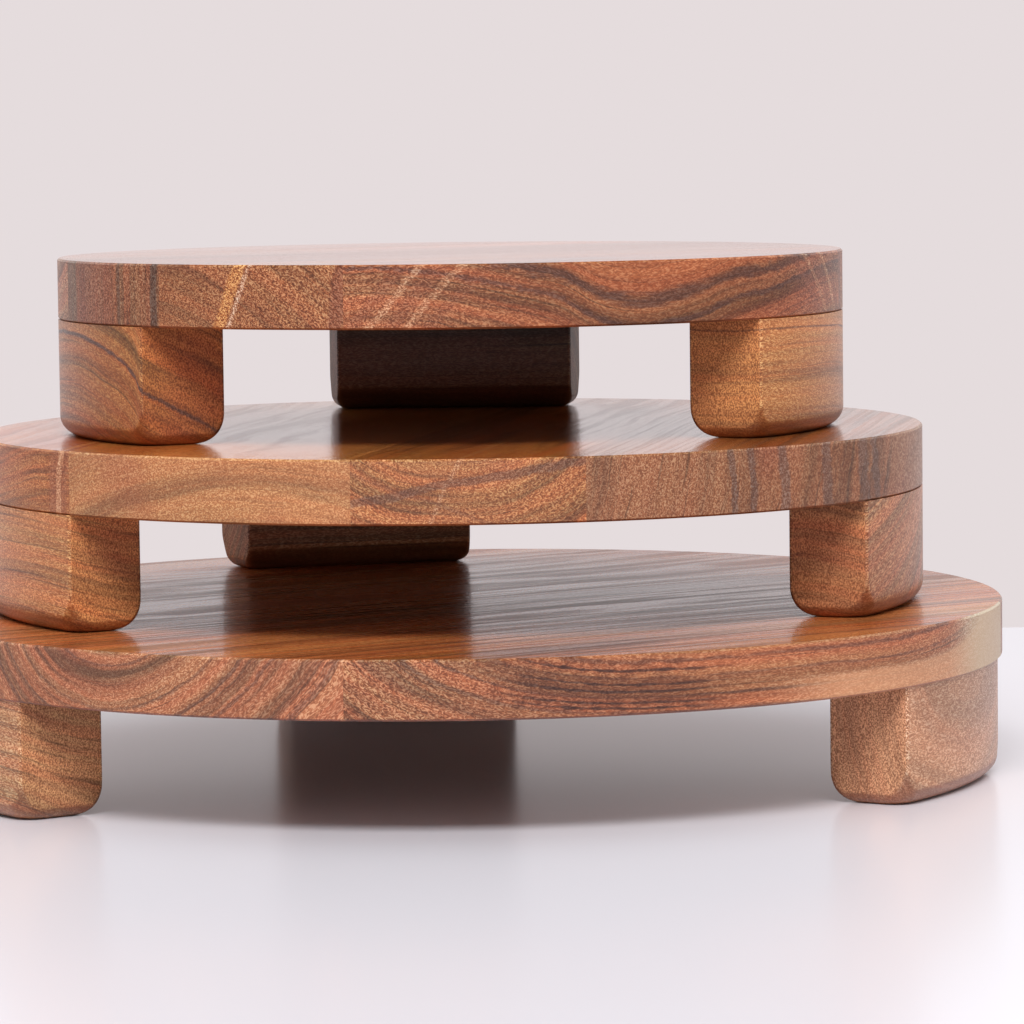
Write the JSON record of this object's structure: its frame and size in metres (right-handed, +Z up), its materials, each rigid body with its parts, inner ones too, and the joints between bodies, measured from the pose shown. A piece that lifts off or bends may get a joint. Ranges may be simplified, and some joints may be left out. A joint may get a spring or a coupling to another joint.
{
  "type": "tiered cake stand",
  "caption": "Tiered cake stand of stacked round wooden boards, each edge-glued from staves and carried on rounded block legs; every tier lifts off to serve on its own.",
  "frame": {"origin": "on the table, on the axis that the three boards share", "axes": "+Z up through the stack, the front of the stack looks along -Y, +X is to its right seen from the front"},
  "size_m": [0.3556, 0.3556, 0.1676],
  "materials": {
    "board_wood": "acacia heartwood, satin lacquer with a glossy top",
    "leg_wood": "acacia, satin lacquer, end grain left rougher",
    "dowel_wood": "plain beech"
  },
  "bodies": {
    "bottom_stand": {"bottom_dowels_back": "dowel_wood", "bottom_dowels_front_left": "dowel_wood", "bottom_dowels_front_right": "dowel_wood", "bottom_leg_back": "leg_wood", "bottom_leg_front_left": "leg_wood", "bottom_leg_front_right": "leg_wood", "bottom_stave_1": "board_wood", "bottom_stave_2": "board_wood", "bottom_stave_3": "board_wood", "bottom_stave_4": "board_wood", "bottom_stave_5": "board_wood"},
    "middle_stand": {"middle_dowels_back": "dowel_wood", "middle_dowels_front_left": "dowel_wood", "middle_dowels_front_right": "dowel_wood", "middle_leg_back": "leg_wood", "middle_leg_front_left": "leg_wood", "middle_leg_front_right": "leg_wood", "middle_stave_1": "board_wood", "middle_stave_2": "board_wood", "middle_stave_3": "board_wood", "middle_stave_4": "board_wood"},
    "top_stand": {"top_dowels_back": "dowel_wood", "top_dowels_front_left": "dowel_wood", "top_dowels_front_right": "dowel_wood", "top_leg_back": "leg_wood", "top_leg_front_left": "leg_wood", "top_leg_front_right": "leg_wood", "top_stave_1": "board_wood", "top_stave_2": "board_wood", "top_stave_3": "board_wood", "top_stave_4": "board_wood", "top_stave_5": "board_wood"}
  },
  "joints": [
    {"name": "middle_stand_lift", "type": "slide", "parent": "bottom_stand", "child": "middle_stand", "axis": [0, 0, 1], "range_m": [0, 0.08]},
    {"name": "top_stand_lift", "type": "slide", "parent": "middle_stand", "child": "top_stand", "axis": [0, 0, 1], "range_m": [0, 0.08]}
  ]
}
